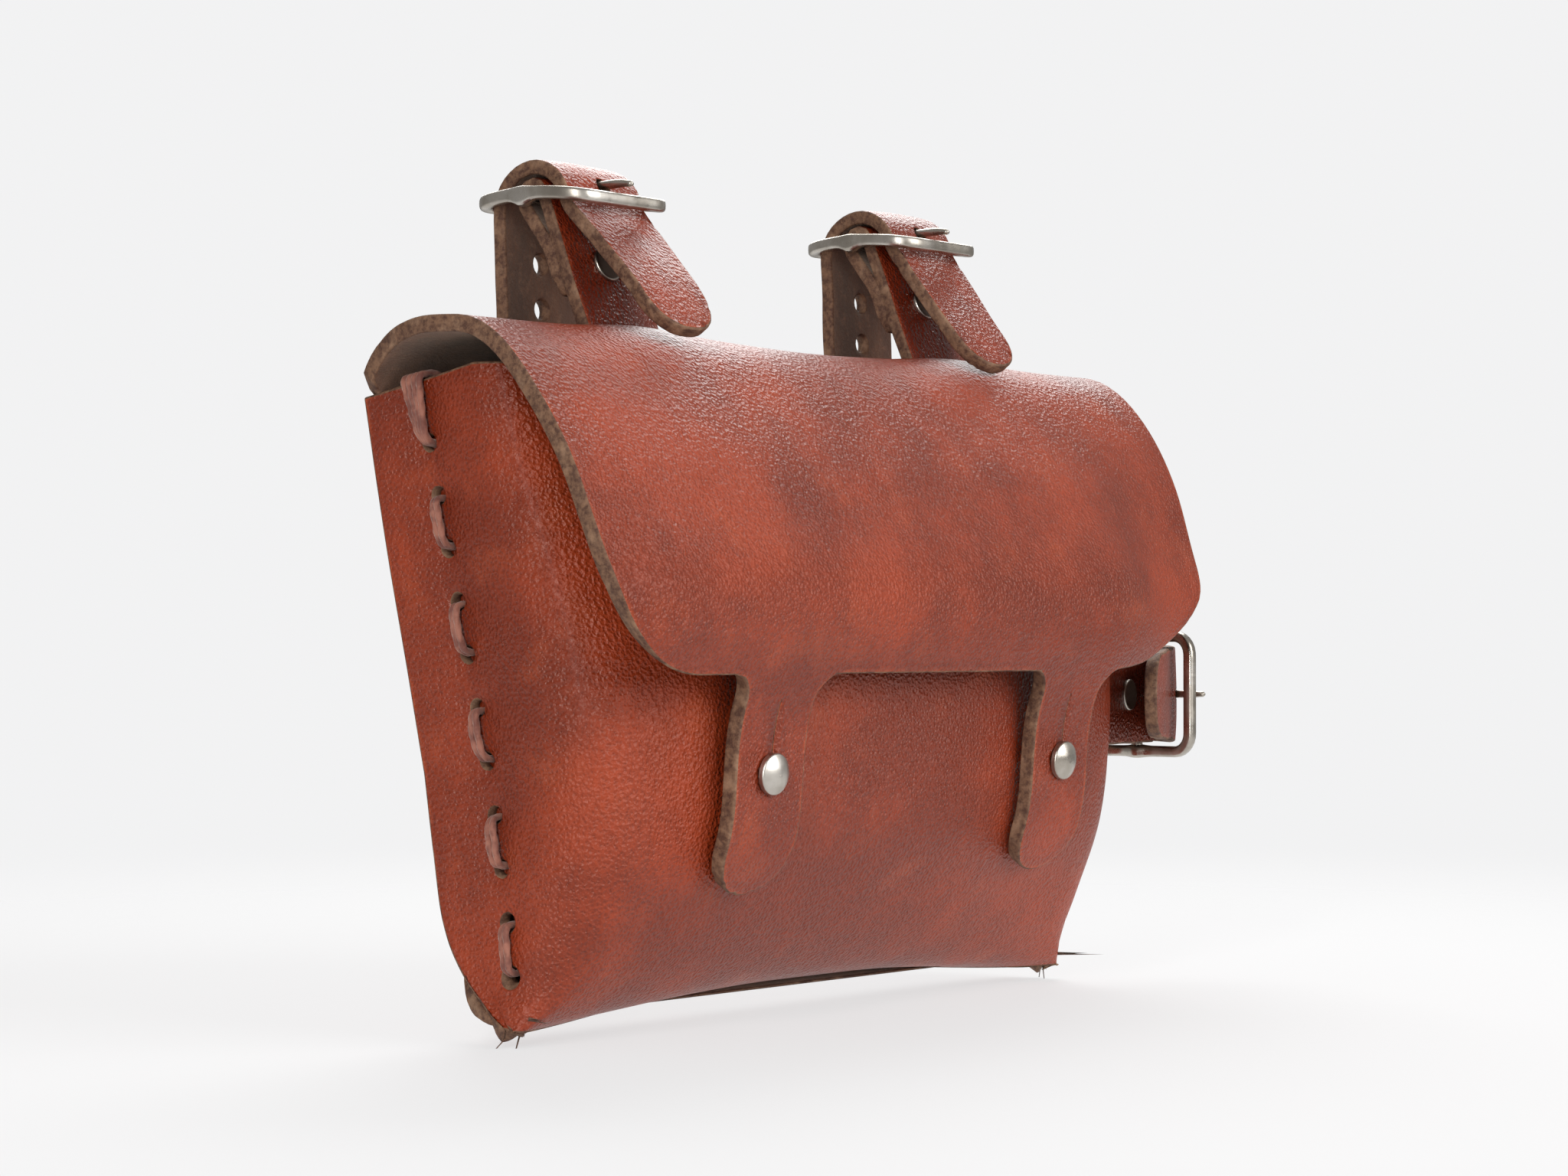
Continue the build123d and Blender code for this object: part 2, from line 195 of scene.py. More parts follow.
def arc_of(y, z):
    """The length along the hide's line nearest to a point."""
    return float(np.argmin(np.hypot(HIDE_LINE[:, 0] - y, HIDE_LINE[:, 1] - z))) * 0.5


S_MOUTH = arc_of(62.0, 71.0)
S_LOW = arc_of(50.5, -33.0)
S_TOP = arc_of(36.5, 83.1)
S_EDGE = arc_of(-0.8, 19.4)
S_STUD = arc_of(*front_at(FACE, 0.0))
S_END = S_STUD + 24.0


def side_half(z):
    """Half the bag's width over its sides at a height."""
    return float(np.interp(z, [-50, -43, -29, 0, 20, 56, 71, 78],
                           [89.8, 88.6, 87.8, 88.2, 90.2, 93.8, 95.0, 95.4]))


# -------- hide: back, roof and flap

def arc_points(cx, cy, rx, ry, start, end, count):
    return [(cx + rx * math.cos(a), cy + ry * math.sin(a))
            for a in np.radians(np.linspace(start, end, count))]


def fold_x(s):
    """Where the back turns forward inside the sides."""
    z = float(HIDE_LINE[int(np.clip(s / 0.5, 0, len(HIDE_LINE) - 1)), 1])
    return side_half(z) - HIDE * 1.5 - 0.3


def half_outline():
    """Right half of the flat hide from its bottom end to the middle of the flap's edge: (x, s)."""
    wing, tongue, fillet = 27.0, 10.4, 6.0
    points = [(0, 0), (84.0, 0), (86.6, 2.0), (88.2, 5.0), (88.0, 8.0), (86.0, 12.0), (83.6, 16.0),
              (83.4, S_LOW + 1),
              (fold_x(S_LOW) + wing, S_LOW + 14), (fold_x(S_MOUTH) + wing, S_MOUTH - 1.5),
              (fold_x(S_MOUTH) + 4, S_MOUTH - 1.5),
              (90.3, S_MOUTH - 7.5), (90.8, S_MOUTH - 1.0), (94.6, S_MOUTH + 1.2)]
    points += [(97.5 + (HALF_FLAP - 97.5) * ease(t), S_MOUTH + t * (S_TOP - S_MOUTH))
               for t in np.linspace(0.14, 1, 12)]
    points += arc_points(HALF_FLAP - 28.0, S_EDGE - 25.0, 28.0, 25.0, 0, 90, 26)
    points += arc_points(STUD_X + tongue + fillet, S_EDGE + fillet, fillet, fillet, -90, -180, 9)
    points += arc_points(STUD_X, S_END - tongue, tongue, tongue, 0, 180, 25)
    points += arc_points(STUD_X - tongue - fillet, S_EDGE + fillet, fillet, fillet, 0, -90, 9)
    return points + [(0, S_EDGE)]


def flat_sheet(outline, spacing):
    """The outline as a flat face divided by a square grid, even on both sides of the middle."""
    bm = bmesh.new()
    bm.faces.new([bm.verts.new((x, s, 0)) for x, s in outline])
    low, high = np.min(outline, 0), np.max(outline, 0)
    across = high[0] / round(high[0] / spacing)
    lines = [(Vector((1, 0, 0)), x) for x in np.arange(low[0] + across / 2, high[0], across)]
    lines += [(Vector((0, 1, 0)), s) for s in np.arange(low[1] + spacing * 0.61, high[1], spacing)]
    for normal, at in lines:
        everything = bm.verts[:] + bm.edges[:] + bm.faces[:]
        bmesh.ops.bisect_plane(bm, geom=everything, dist=1e-5, plane_co=normal * at, plane_no=normal)
    bmesh.ops.remove_doubles(bm, verts=bm.verts, dist=0.25 * spacing)
    return bm


def mapped_sheet(name, outline, spacing, shape, materials):
    """A flat outline laid out in space by shape(x, s), with its distance from the rim stored."""
    bm = flat_sheet(outline, spacing)
    flat = [(v.co.x, v.co.y) for v in bm.verts]
    for v, (x, s) in zip(bm.verts, flat):
        v.co = place(*shape(x, s))
    mesh = bpy.data.meshes.new(name)
    bm.to_mesh(mesh)
    bm.free()
    obj = new_object(name, mesh)
    rim_attribute(obj, distance_to(outline, flat))
    for m in materials:
        mesh.materials.append(m)
    return obj, flat


def thin_towards(obj, factors):
    """Skives the sheet: 1 is its full thickness."""
    group = obj.vertex_groups.new(name="thin")
    for i, factor in enumerate(factors):
        group.add([i], float(factor), "REPLACE")


def hide_point(x, s):
    """Where a point of the flat hide lies on the bag, in millimetres."""
    p, n = line_at(s)
    side, reach = math.copysign(1, x), abs(x)
    radius = 4.0
    turn = ease((s - (S_LOW - 11)) / 10)
    if reach < 91.5 or s > S_MOUTH - 1.2:
        turn *= 1 - ease((s - (S_MOUTH - 6)) / 6)
    start, bend = fold_x(s) - radius, radius * math.pi / 2
    over = reach - start
    depth = 0.0
    if over > 0 and turn > 1e-3:
        bow = turn / radius
        angle = bow * min(over, bend)
        reach = start + math.sin(angle) / bow + max(over - bend, 0) * math.cos(angle)
        depth = (1 - math.cos(angle)) / bow + max(over - bend, 0) * math.sin(angle)
    lift = -depth
    ear = ease((reach - 48) / 38) * (1 - ease(s / 16))
    on_roof = math.exp(-((s - S_TOP) / 13) ** 2)
    for strap_x in (-52.5, 52.5):
        lift += 1.3 * on_roof * math.exp(-((x - strap_x) / 15) ** 2)
    lift -= 0.9 * on_roof * math.exp(-(x / 26) ** 2)
    low_front = ease((s - (S_EDGE - 62)) / 55)
    lift -= 7.5 * ease((x - 58) / 45) * low_front * (1 - ease((s - S_EDGE) / 10))
    lift -= 1.6 * ease((-x - 84) / 19) * low_front
    wave = noise.noise(Vector((x / 34, s / 30, 3.7)))
    lift += 0.55 * wave * ease((s - S_TOP) / 30) * (1 - ease((s - S_EDGE + 10) / 8))
    return side * reach, p[0] + n[0] * lift - 1.5 * ear, p[1] + n[1] * lift - 2.4 * ear


def rim_attribute(obj, values):
    found = obj.data.attributes.new("rim_mm", "FLOAT", "POINT")
    found.data.foreach_set("value", np.array(values, np.float32))


def distance_to(outline, points):
    """Distance from each point to the nearest point of an outline, in millimetres."""
    fine = resample(np.array(outline + outline[:1]), 0.5)
    return [float(np.min(np.hypot(fine[:, 0] - x, fine[:, 1] - y))) for x, y in points]


def make_flap(materials):
    """The hide from under the bag up the back, over the roof and down to the tongues."""
    half = half_outline()
    outline = half + [(-x, s) for x, s in reversed(half[1:-1])]
    obj, flat = mapped_sheet("hide_back_roof_flap", outline, 2.4, hide_point, materials)
    orient(obj, Vector((0, -1, 0)), lambda c: c.y < DATUM.y + 5 * MM)
    move_out(obj, HIDE / 2)
    thin_towards(obj, [ease(s / 11) for x, s in flat])
    return finish_sheet(obj, HIDE)


def orient(obj, direction, where):
    """Turns the faces so that those picked by where face a direction."""
    total = sum((f.normal.dot(direction) * f.area for f in obj.data.polygons if where(f.center)), 0.0)
    if total < 0:
        obj.data.flip_normals()


def move_out(obj, distance):
    """Moves a sheet along its own normals, from its middle to its outer face."""
    normals = [v.normal.copy() for v in obj.data.vertices]
    for v, n in zip(obj.data.vertices, normals):
        v.co += n * distance * MM


# -------- hide: front and wings

# Rear edge of the wing, fold to the front, and middle of the front, each as (y, z), from mouth to foot.
FRONT_KEYS = [
    ((64.0, 71.0), (30.5, 76.4), (23.0, 73.0)), ((62.3, 57.0), (27.5, 58.5), (13.5, 57.0)),
    ((60.3, 40.0), (22.8, 42.0), (7.4, 41.0)), ((57.4, 19.5), (17.4, 24.5), (5.6, 22.0)),
    ((55.0, 1.5), (15.0, 4.5), (6.1, 4.5)), ((52.6, -15.0), (16.8, -13.0), (8.2, -12.0)),
    ((50.2, -28.0), (21.6, -27.5), (15.4, -27.0)), ((45.2, -36.6), (26.4, -38.5), (22.8, -37.4)),
    ((38.2, -43.2), (28.9, -44.6), (29.6, -42.5)), ((33.2, -46.4), (29.9, -46.9), (37.0, -43.0))]


def front_section(rear, ridge, middle):
    """One row of the front sheet, from the left wing's rear edge round to the right one's."""
    half = side_half(ridge[1])
    width = rear[0] - ridge[0]
    soft = min(float(np.interp(ridge[1], [0, 78], [13.0, 7.0])), 0.62 * width)
    corner_y = ridge[0] - 0.25 * soft
    inner = half - soft
    steep = 3.2 * soft / inner
    turn_y = (corner_y + steep * middle[0]) / (1 + steep)
    row = []
    side_start = corner_y + soft
    for t in np.linspace(0, 1, 17)[:-1]:
        y = rear[0] + (side_start - rear[0]) * t
        z = rear[1] + (ridge[1] - rear[1]) * t
        row.append((side_half(z) - 0.6 * math.sin(math.pi * t), y, z))
    for t in np.linspace(0, 1, 11)[:-1]:
        a = np.array((half, side_start)) * (1 - t) ** 2
        b = 2 * t * (1 - t) * np.array((half, corner_y))
        c = t * t * np.array((inner, turn_y))
        x, y = a + b + c
        row.append((x, y, ridge[1]))
    for t in np.linspace(0, 1, 37):
        x = inner * (1 - t)
        y = middle[0] + (turn_y - middle[0]) * (1 - t) ** 3.2
        z = ridge[1] + (middle[1] - ridge[1]) * ease(t * 1.15)
        row.append((x, y, z))
    left = [(-x, y, z) for x, y, z in row]
    return left + [(x, y, z) for x, y, z in reversed(row[:-1])]


STITCH_TOP, STITCH_LOW, STITCHES = (49.0, 62.0), (33.4, -36.8), 11


def stitch_spot(i):
    """Height and depth of a sewing hole, counted from the mouth."""
    t = i / (STITCHES - 1)
    return (STITCH_TOP[0] + (STITCH_LOW[0] - STITCH_TOP[0]) * t,
            STITCH_TOP[1] + (STITCH_LOW[1] - STITCH_TOP[1]) * t)


def pulled(x, y, z):
    """The leather's small hollows where the thread pulls it, and its slow unevenness."""
    if abs(x) > side_half(z) - 6:
        line_y = stitch_spot((STITCH_TOP[1] - z) / (STITCH_TOP[1] - STITCH_LOW[1]) * (STITCHES - 1))[0]
        near = math.exp(-((y - line_y) / 6.5) ** 2) * (1 if -42 < z < 72 else 0)
        dents = sum(math.exp(-(((y - sy) / 3.2) ** 2 + ((z - sz) / 3.4) ** 2))
                    for sy, sz in map(stitch_spot, range(STITCHES)))
        x -= math.copysign(0.5 * near + 0.75 * dents, x)
    swell = 0.7 * noise.noise(Vector((x / 40, y / 40, z / 34)))
    return x, y - swell * ease((84 - abs(x)) / 30) * ease((60 - z) / 40) * ease((z + 44) / 20), z


def make_front(materials):
    """The front and bottom sheet with its wings, laced to the back's wings."""
    keys = [np.array([c for pair in key for c in pair]) for key in FRONT_KEYS]
    levels = smooth_path(keys, 2.6)
    rows = [[pulled(*p) for p in front_section(k[0:2], k[2:4], k[4:6])] for k in levels]
    obj = grid_mesh("hide_front_and_wings", rows)
    count, last = len(rows[0]), len(rows) - 1
    rim = []
    for r in range(len(rows)):
        for c in range(count):
            edge = min(c, count - 1 - c) * 2.0
            side = c < 22 or c > count - 23
            rim.append(min(edge, r * 2.4, (last - r) * 1.6 if side else 99))
    rim_attribute(obj, rim)
    orient(obj, Vector((0, -1, 0)), lambda c: True)
    for m in materials:
        obj.data.materials.append(m)
    middle = range(24, count - 24)
    thin_towards(obj, [ease((last - r) / 4) if c in middle else 1 for r in range(len(rows))
                       for c in range(count)])
    return finish_sheet(obj, HIDE)


def lathe(name, profile, matrix, material=None, count=24):
    """A turned solid from (radius, height) points in millimetres."""
    bm = bmesh.new()
    rings = []
    for radius, height in profile:
        if radius < 1e-6:
            rings.append([bm.verts.new(matrix @ Vector((0, 0, height * MM)))])
        else:
            rings.append([bm.verts.new(matrix @ Vector((radius * MM * math.cos(a),
                                                        radius * MM * math.sin(a), height * MM)))
                          for a in np.linspace(0, 2 * math.pi, count, endpoint=False)])
    for low, high in zip(rings, rings[1:]):
        for i in range(count):
            j = (i + 1) % count
            if len(low) == 1:
                bm.faces.new((low[0], high[i], high[j]))
            elif len(high) == 1:
                bm.faces.new((low[i], low[j], high[0]))
            else:
                bm.faces.new((low[i], low[j], high[j], high[i]))
    bmesh.ops.recalc_face_normals(bm, faces=bm.faces)
    mesh = bpy.data.meshes.new(name)
    bm.to_mesh(mesh)
    bm.free()
    if material:
        mesh.materials.append(material)
    mesh.shade_smooth()
    return new_object(name, mesh)


def axis_matrix(origin, direction, side=Vector((0, 0, 1))):
    """A frame at an origin in metres, with its Z along a direction."""
    z = Vector(direction).normalized()
    x = (side - z * side.dot(z)).normalized()
    return Matrix.Translation(origin) @ Matrix((x, z.cross(x), z)).transposed().to_4x4()


def sewing_cutters(material):
    """Flared punches for every sewing hole."""
    cutters = []
    for side in (-1, 1):
        for i in range(STITCHES):
            y, z = stitch_spot(i)
            face = side_half(z) - 1.0
            matrix = axis_matrix(place(side * face, y, z), (side, 0, -0.06))
            cutters.append(lathe("punch", [(0, -12), (1.4, -12), (1.4, -1.3), (1.75, -0.75), (2.5, 0.3),
                                           (2.9, 1.6), (2.9, 4), (0, 4)],
                                 matrix, material, 20))
    return cutters


def join(objects, name):
    """One object from several."""
    bm = bmesh.new()
    mats = []
    for o in objects:
        first = len(bm.faces)
        bm.from_mesh(o.data)
        bm.faces.ensure_lookup_table()
        lookup = []
        for m in o.data.materials:
            if m not in mats:
                mats.append(m)
            lookup.append(mats.index(m))
        for f in bm.faces[first:]:
            f.material_index = lookup[f.material_index] if lookup else 0
            f.smooth = True
    mesh = bpy.data.meshes.new(name)
    bm.to_mesh(mesh)
    bm.free()
    for o in objects:
        bpy.data.objects.remove(o)
    for m in mats:
        mesh.materials.append(m)
    return new_object(name, mesh)


# -------- tubes

def tube(name, points, radii, material, sides=14, lobes=0, twist=0.0):
    """A round or plied strand along a line of points in millimetres, closed at both ends."""
    line = np.array(points, float)
    steps = np.gradient(line, axis=0)
    steps /= np.linalg.norm(steps, axis=1)[:, None]
    normal = np.cross(steps[0], (0.31, 0.52, 0.79))
    rows = []
    for i, (p, t) in enumerate(zip(line, steps)):
        normal = normal - t * normal.dot(t)
        normal /= np.linalg.norm(normal)
        other = np.cross(t, normal)
        r = radii[i] if hasattr(radii, "__len__") else radii
        ring = []
        for k in range(sides):
            a = 2 * math.pi * k / sides
            ply = 1 + 0.13 * math.cos(lobes * (a - twist * i)) if lobes else 1
            ring.append(tuple(p + (normal * math.cos(a) + other * math.sin(a)) * r * ply))
        rows.append(ring)
    obj = grid_mesh(name, rows, closed=True)
    bm = bmesh.new()
    bm.from_mesh(obj.data)
    bm.verts.ensure_lookup_table()
    bm.faces.new([bm.verts[k] for k in range(sides)][::-1])
    bm.faces.new([bm.verts[len(bm.verts) - sides + k] for k in range(sides)])
    bmesh.ops.recalc_face_normals(bm, faces=bm.faces)
    bm.to_mesh(obj.data)
    bm.free()
    obj.data.materials.append(material)
    obj.data.shade_smooth()
    return obj


# -------- lacing

def make_thread(side, material):
    """The doubled lacing of one side: its long run, and the first stitch over the mouth."""
    along = np.array((STITCH_TOP[0] - STITCH_LOW[0], STITCH_TOP[1] - STITCH_LOW[1]))
    along /= np.linalg.norm(along)
    across = np.array((along[1], -along[0]))

    def at(i, level, shift):
        y, z = np.array(stitch_spot(i)) + across * shift
        return (side * (side_half(z) + level), y, z)

    strands = []
    for lane in (-0.62, 0.62):
        line = [at(0.0, -7.9, lane)]
        for i in range(1, STITCHES):
            outside = i % 2 == 0
            level = 0.15 if outside else -7.7
            wander = 0.22 * math.sin(2.3 * i + lane)
            line += [at(i - 0.86, level - 0.35, lane * 0.8),
                     at(i - 0.5, level + (0.1 if outside else 0), lane + wander),
                     at(i - 0.14, level - 0.35, lane * 0.8)]
            toward = -0.05 if outside else 0.05
            line += [at(i + toward, -2.2, lane * 0.5),
                     at(i + toward, -5.4, lane * 0.5)][::1 if outside else -1]
        line += [at(STITCHES - 0.8, -8.1, lane), at(STITCHES - 0.45, -8.6, lane * 1.6)]
        strands.append(tube("strand", smooth_path(line, 0.45), 0.64, material, 12, 3, 0.3))
    for lane in (-2.1, -0.7, 0.7, 2.1):
        rise = MOUTH_RISE / 9.9
        line = [at(0, -5.4, lane * 0.16), at(0, -2.6, lane * 0.2), at(-0.14, -0.1, lane * 0.36),
                at(-0.6 * rise, 0.42, lane * 0.72),
                at(-0.93 * rise, 0.35, lane * 0.96), at(-rise, -1.6, lane), at(-1.005 * rise, -4.0, lane),
                at(-0.9 * rise, -7.2, lane * 0.96), at(-0.5 * rise, -7.9, lane * 0.6),
                at(-0.12, -7.8, lane * 0.3),
                at(0, -6.0, lane * 0.16)]
        strands.append(tube("strand", smooth_path(line, 0.45), 0.64, material, 12, 3, 0.3))
    return join(strands, "lacing_left" if side < 0 else "lacing_right")


MOUTH_RISE = 12.6


# -------- straps

WRAP, LOOP, LOOP_DROP = 2.9, 9.0, 2.7
STRAPS = {"left": (Vector((-52.5, 50.0, 110.7)), (-15.6, -31.4), (7.6, -37.6), (-30.8, -27.2)),
          "right": (Vector((52.5, 50.0, 110.7)), (-15.6, -31.4), (7.6, -37.6), (-28.8, -27.8)),
          "side": (Vector((116.5, 26.5, 13.0)), (-9.0, -34.2), (8.4, -34.2), (-21.0, -27.5))}
TIP_BENDS = {"left": [(-9.6, -2.2), (-15.6, -8.6), (-24.0, -17.6)],
             "right": [(-9.6, -2.2), (-16.0, -10.8), (-23.6, -20.6)],
             "side": [(-9.8, -4.0), (-13.4, -11.0), (-17.6, -19.6)]}
KNEE = np.array((-9.8, -3.8))


def strap_point(name, u, w, v):
    """A point of a strap's own plane: u to the back, w away from the bag, v across."""
    x, y, z = STRAPS[name][0]
    return (x + w, y + u, z - v) if name == "side" else (x + v, y + u, z + w)


def touch(centre, radius, point, turn):
    """Where the line from a point touches a circle."""
    reach = np.array(point) - centre
    angle = math.atan2(reach[1], reach[0]) - turn * math.acos(radius / np.linalg.norm(reach))
    return np.array(centre) + radius * np.array((math.cos(angle), math.sin(angle)))


def rounded(points, radii):
    """A line with its inner corners rounded."""
    pts = [np.array(p, float) for p in points]
    line = [pts[0]]
    for a, b, c, radius in zip(pts, pts[1:], pts[2:], radii):
        u, v = (a - b) / np.linalg.norm(a - b), (c - b) / np.linalg.norm(c - b)
        half = math.acos(np.clip(u.dot(v), -1, 1)) / 2
        reach = radius / math.tan(half)
        middle = b + (u + v) / np.linalg.norm(u + v) * radius / math.sin(half)
        start, end = b + u * reach - middle, b + v * reach - middle
        sweep = math.atan2(start[0] * end[1] - start[1] * end[0], start.dot(end))
        for t in np.linspace(0, sweep, 9):
            line.append(middle + np.array((start[0] * math.cos(t) - start[1] * math.sin(t),
                                           start[0] * math.sin(t) + start[1] * math.cos(t))))
    return line + [pts[-1]]


def arc(centre, start, end, turn):
    """Points round a centre from one point to another; turn +1 is anticlockwise."""
    a, b = (math.atan2(p[1] - centre[1], p[0] - centre[0]) for p in (start, end))
    while (b - a) * turn < 0:
        b += 2 * math.pi * turn
    radius = np.linalg.norm(np.array(start) - centre)
    return [np.array(centre) + radius * np.array((math.cos(t), math.sin(t)))
            for t in np.linspace(a, b, 22)[1:-1]]


class Route:
    """The strap's middle line, with the places of its adjusting holes along it."""

    def __init__(self, name):
        _, low, back, end = STRAPS[name]
        bar, loop = np.zeros(2), np.array((0.0, -LOOP_DROP))
        self.fold = touch(bar, WRAP, low, 1)
        self.down = (np.array(low) - self.fold) / np.linalg.norm(np.array(low) - self.fold)
        self.behind = np.array((-self.down[1], self.down[0]))
        layer = self.behind * (STRAP + 0.1)
        bend, chape = self.fold + self.down * 10.5 + layer, self.fold + self.down * 20.5 + layer
        fold_back = touch(bar, WRAP, bend, -1)
        loop_back = touch(loop, LOOP, back, -1)
        loop_front = loop + LOOP * np.array((-math.cos(math.radians(15)), math.sin(math.radians(15))))
        first = rounded([chape, bend, fold_back], [9]) + arc(bar, fold_back, self.fold, 1)
        second = rounded([self.fold, low, back, loop_back], [2.6, 2.6]) + arc(loop, loop_back, loop_front, 1)
        tip = smooth_path([second[-1], *TIP_BENDS[name], end], 0.8)
        self.line = resample(np.array(first + second + [tuple(p) for p in tip[1:]]), 1.1)
        self.length = np.concatenate([[0], np.cumsum(np.linalg.norm(np.diff(self.line, axis=0), axis=1))])
        self.leg = (loop_back - np.array(back)) / np.linalg.norm(loop_back - np.array(back))
        self.back, self.end = np.array(back), np.array(end)
        self.seam = int(np.argmin(np.linalg.norm(self.line - loop_front, axis=1)[len(first):])) + len(first)

    def at(self, s):
        """Point and direction s millimetres along the strap."""
        k = int(np.clip(np.searchsorted(self.length, s) - 1, 0, len(self.line) - 2))
        p = self.line[k] + (self.line[k + 1]
                            - self.line[k]) * (s - self.length[k]) / (self.length[k + 1] - self.length[k])
        a, b = (np.stack([np.interp(s + d, self.length, self.line[:, i]) for i in (0, 1)])
                for d in (-1.2, 1.2))
        return p, (b - a) / np.linalg.norm(b - a)


def strap_outline(total):
    """The strap laid flat, (v, s): a trimmed start and a rounded end."""
    full, slim = STRAP_WIDTH / 2, STRAP_WIDTH / 2 - 1.5
    ends = [(slim * math.copysign(abs(math.cos(a)) ** 0.87, math.cos(a)),
             total - 10 + 10 * math.sin(a) ** 0.87)
            for a in np.linspace(0, math.pi, 27)]
    return [(-full + 1.8, 0), (full - 1.8, 0), (full, 3.5),
            (full, total - 36)] + ends + [(-full, total - 36), (-full, 3.5)]


def make_strap(name, materials):
    """One strap in two meshes that meet on the loop: the held part and the free tip."""
    route = Route(name)
    total = float(route.length[-1])
    seed = {"left": 1.0, "right": 7.0, "side": 13.0}[name]

    def shape(v, s):
        p, t = route.at(s)
        n = np.array((t[1], -t[0]))
        c = v / (STRAP_WIDTH / 2)
        out = STRAP / 2 - 0.35 * abs(c) ** 3 + 0.22 * noise.noise(Vector((s / 14, c * 1.2, seed)))
        across = v + 0.25 * c * noise.noise(Vector((s / 9, math.copysign(3, c), seed + 2)))
        return strap_point(name, p[0] + n[0] * out, p[1] + n[1] * out, across)

    obj, _ = mapped_sheet(f"{name}_strap_leather", strap_outline(total), 1.6, shape, materials)
    top = place(*strap_point(name, 0, LOOP - LOOP_DROP, 0))
    outward = Vector((1, 0, 0)) if name == "side" else Vector((0, 0, 1))
    orient(obj, outward, lambda c: (c - top).length < 9 * MM)
    finish_sheet(obj, STRAP, 0.5)
    cut(obj, strap_cutters(name, route, materials[2]))
    obj.data.shade_smooth()
    return split_strap(obj, name, route)


def strap_direction(name, u, w):
    return Vector((w, u, 0)) if name == "side" else Vector((0, u, w))


def punch(name, at, direction, radius, depth, material, flare=0.5):
    """A round punch with a slightly flared mouth on both faces."""
    matrix = axis_matrix(place(*strap_point(name, at[0], at[1], 0)), strap_direction(name, *direction),
                         Vector((0, 0, 1)) if name == "side" else Vector((1, 0, 0)))
    wide = radius + flare
    profile = [(0, -depth), (wide, -depth), (wide, -STRAP / 2 - 0.2), (radius, -STRAP / 2 + 0.7),
               (radius, STRAP / 2 - 0.7), (wide, STRAP / 2 + 0.2), (wide, depth), (0, depth)]
    return lathe("punch", profile, matrix, material, 20)


def strap_cutters(name, route, material):
    """Punches for the adjusting holes, the prong and the slot round the bar."""
    square = (route.leg[1], -route.leg[0])
    cutters = [punch(name, route.back + route.leg * up, square, 1.9, 6, material) for up in (17.0, 26.0)]
    cutters.append(punch(name, (0.0, LOOP - LOOP_DROP), (0, 1), 1.3, 4, material, 0.4))
    slot = lathe("punch", [(0, -1.9), (WRAP + STRAP / 2 + 0.9, -1.9), (WRAP + STRAP / 2 + 0.9, 1.9),
                           (0, 1.9)],
                 axis_matrix(place(*strap_point(name, 0, 0, 0)),
                             Vector((0, 0, 1)) if name == "side" else Vector((1, 0, 0)),
                             Vector((0, 1, 0))), material, 28)
    start, end = np.array(PRONG_START), np.array(PRONG_END)
    step = (end - start) / np.linalg.norm(end - start)
    middle = (start + end) / 2
    cutters.append(punch(name, middle, tuple(step), 1.75, 7.5, material, 0.0))
    return cutters + [slot]


PRONG_START, PRONG_END = (-1.6, 1.9), (-15.1, 2.85)


def split_strap(obj, name, route):
    """Separates the tip from the held part along the seam on the loop."""
    p, q = route.line[route.seam], route.line[route.seam + 1]
    step = (q - p) / np.linalg.norm(q - p)
    normal = np.array((step[1], -step[0]))
    origin = place(*strap_point(name, p[0], p[1], 0))
    along, out = strap_direction(name, *step), strap_direction(name, *normal)
    toward_end = strap_direction(name, *(route.end - KNEE)).normalized()
    bend = place(*strap_point(name, *KNEE, 0))

    def in_tip(c):
        ahead, off = (c - origin).dot(along), (c - origin).dot(out)
        if 0 < ahead < 7 * MM and abs(off) < 4.5 * MM:
            return True
        across = (c - bend) - toward_end * (c - bend).dot(toward_end)
        across -= Vector((0, 0, across.z)) if name == "side" else Vector((across.x, 0, 0))
        return (c - bend).dot(toward_end) > -1 * MM and across.length < 4.2 * MM

    tip = obj.data.copy()
    for mesh, keep in ((obj.data, False), (tip, True)):
        bm = bmesh.new()
        bm.from_mesh(mesh)
        if keep is False:
            bmesh.ops.delete(bm, geom=[f for f in bm.faces if in_tip(f.calc_center_median())],
                             context="FACES")
        else:
            bmesh.ops.delete(bm, geom=[f for f in bm.faces if not in_tip(f.calc_center_median())],
                             context="FACES")
        bm.to_mesh(mesh)
        bm.free()
    free = new_object(f"{name}_strap_tip_leather", tip)
    return obj, free


# -------- buckles

